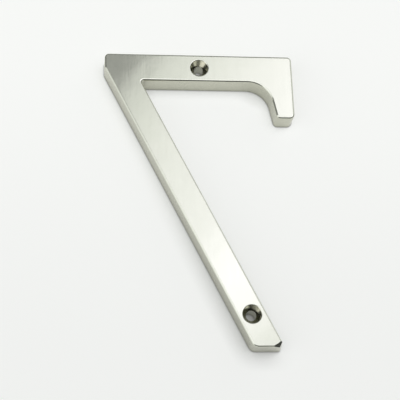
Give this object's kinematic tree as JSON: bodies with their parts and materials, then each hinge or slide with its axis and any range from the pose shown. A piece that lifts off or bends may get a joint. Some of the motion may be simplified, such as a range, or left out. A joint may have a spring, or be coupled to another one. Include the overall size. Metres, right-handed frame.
{
  "type": "house number",
  "caption": "House number in satin nickel: a mirror-image seven with a flat back, rounded front edges and countersunk screw holes for fixing to a wall.",
  "frame": {"origin": "on the flat back, in the middle of the figure's width and height", "axes": "+X along the bar to the end with the short serif, +Y up the figure, +Z out of the front face"},
  "size_m": [0.08, 0.127, 0.0092],
  "materials": {
    "satin_nickel": "satin nickel plate over a polished zinc casting"
  },
  "bodies": {
    "root": {"number_seven": "satin_nickel"}
  },
  "joints": []
}
